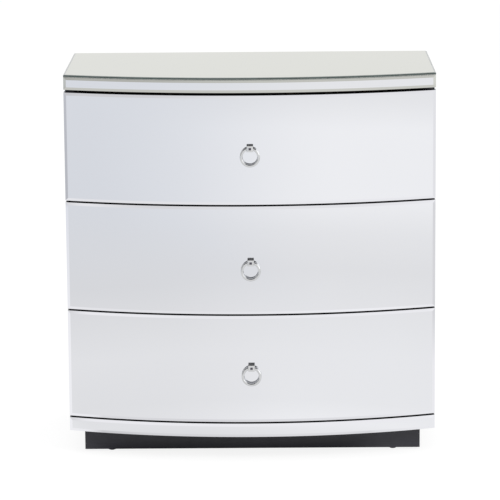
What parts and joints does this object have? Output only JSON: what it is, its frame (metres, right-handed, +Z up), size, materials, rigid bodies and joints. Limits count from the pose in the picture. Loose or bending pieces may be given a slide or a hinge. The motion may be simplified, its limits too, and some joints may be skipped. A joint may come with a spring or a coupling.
{
  "type": "mirrored bow-front chest of drawers",
  "caption": "Free-standing bow-front chest of drawers faced with bevelled mirror glass, with ring pulls, telescopic drawer slides and a recessed plinth.",
  "frame": {"origin": "on the floor, under the middle of the whole outline, ring pulls included", "axes": "+Z up, the drawers open towards -Y, +X to the right of someone facing the front"},
  "size_m": [0.813, 0.473, 0.853],
  "materials": {
    "mirror_glass": "bevelled mirror glass, silvered on the back, polished edges",
    "black_lacquer": "satin black lacquer on board",
    "birch_plywood": "clear-lacquered birch plywood",
    "hardboard": "black-faced hardboard",
    "zinc_steel": "zinc-plated rolled steel",
    "chrome": "polished chrome plate",
    "glide_plastic": "black moulded plastic"
  },
  "bodies": {
    "case": {"back_board": "hardboard", "bottom_board": "black_lacquer", "bottom_drawer_slide_cabinet_members": "zinc_steel", "bottom_rail": "black_lacquer", "bottom_rail_mirror": "mirror_glass", "floor_glides": "glide_plastic", "left_side_board": "black_lacquer", "left_side_mirror": "mirror_glass", "lower_divider": "black_lacquer", "middle_drawer_slide_cabinet_members": "zinc_steel", "plinth_back": "black_lacquer", "plinth_corner_blocks": "black_lacquer", "plinth_front": "black_lacquer", "plinth_left": "black_lacquer", "plinth_right": "black_lacquer", "right_side_board": "black_lacquer", "right_side_mirror": "mirror_glass", "top_board": "black_lacquer", "top_drawer_slide_cabinet_members": "zinc_steel", "top_mirror": "mirror_glass", "top_rail": "black_lacquer", "top_rail_mirror": "mirror_glass", "upper_divider": "black_lacquer"},
    "bottom_drawer": {"bottom_drawer_back": "birch_plywood", "bottom_drawer_bottom": "birch_plywood", "bottom_drawer_front_board": "black_lacquer", "bottom_drawer_front_mirror": "mirror_glass", "bottom_drawer_left_side": "birch_plywood", "bottom_drawer_right_side": "birch_plywood", "bottom_drawer_ring_post": "chrome", "bottom_drawer_slide_drawer_members": "zinc_steel"},
    "bottom_drawer_middle_slides": {"bottom_drawer_slide_middle_members": "zinc_steel"},
    "bottom_drawer_ring": {"bottom_drawer_ring": "chrome"},
    "middle_drawer": {"middle_drawer_back": "birch_plywood", "middle_drawer_bottom": "birch_plywood", "middle_drawer_front_board": "black_lacquer", "middle_drawer_front_mirror": "mirror_glass", "middle_drawer_left_side": "birch_plywood", "middle_drawer_right_side": "birch_plywood", "middle_drawer_ring_post": "chrome", "middle_drawer_slide_drawer_members": "zinc_steel"},
    "middle_drawer_middle_slides": {"middle_drawer_slide_middle_members": "zinc_steel"},
    "middle_drawer_ring": {"middle_drawer_ring": "chrome"},
    "top_drawer": {"top_drawer_back": "birch_plywood", "top_drawer_bottom": "birch_plywood", "top_drawer_front_board": "black_lacquer", "top_drawer_front_mirror": "mirror_glass", "top_drawer_left_side": "birch_plywood", "top_drawer_right_side": "birch_plywood", "top_drawer_ring_post": "chrome", "top_drawer_slide_drawer_members": "zinc_steel"},
    "top_drawer_middle_slides": {"top_drawer_slide_middle_members": "zinc_steel"},
    "top_drawer_ring": {"top_drawer_ring": "chrome"}
  },
  "joints": [
    {"name": "bottom_drawer_slide", "type": "slide", "parent": "case", "child": "bottom_drawer", "axis": [0, -1, 0], "range_m": [0, 0.34]},
    {"name": "bottom_drawer_middle_slide", "type": "slide", "parent": "case", "child": "bottom_drawer_middle_slides", "axis": [0, -1, 0], "range_m": [0, 0.17]},
    {"name": "bottom_drawer_ring_swing", "type": "hinge", "parent": "bottom_drawer", "child": "bottom_drawer_ring", "pos_m": [0, -0.2298, 0.2135], "axis": [-1, 0, 0], "range_deg": [-9, 189]},
    {"name": "middle_drawer_slide", "type": "slide", "parent": "case", "child": "middle_drawer", "axis": [0, -1, 0], "range_m": [0, 0.34]},
    {"name": "middle_drawer_middle_slide", "type": "slide", "parent": "case", "child": "middle_drawer_middle_slides", "axis": [0, -1, 0], "range_m": [0, 0.17]},
    {"name": "middle_drawer_ring_swing", "type": "hinge", "parent": "middle_drawer", "child": "middle_drawer_ring", "pos_m": [0, -0.2298, 0.4485], "axis": [-1, 0, 0], "range_deg": [-9, 189]},
    {"name": "top_drawer_slide", "type": "slide", "parent": "case", "child": "top_drawer", "axis": [0, -1, 0], "range_m": [0, 0.34]},
    {"name": "top_drawer_middle_slide", "type": "slide", "parent": "case", "child": "top_drawer_middle_slides", "axis": [0, -1, 0], "range_m": [0, 0.17]},
    {"name": "top_drawer_ring_swing", "type": "hinge", "parent": "top_drawer", "child": "top_drawer_ring", "pos_m": [0, -0.2298, 0.7], "axis": [-1, 0, 0], "range_deg": [-9, 189]}
  ],
  "couplings": [
    {"joint": "bottom_drawer_middle_slide", "follows": "bottom_drawer_slide", "ratio": 0.5},
    {"joint": "middle_drawer_middle_slide", "follows": "middle_drawer_slide", "ratio": 0.5},
    {"joint": "top_drawer_middle_slide", "follows": "top_drawer_slide", "ratio": 0.5}
  ]
}
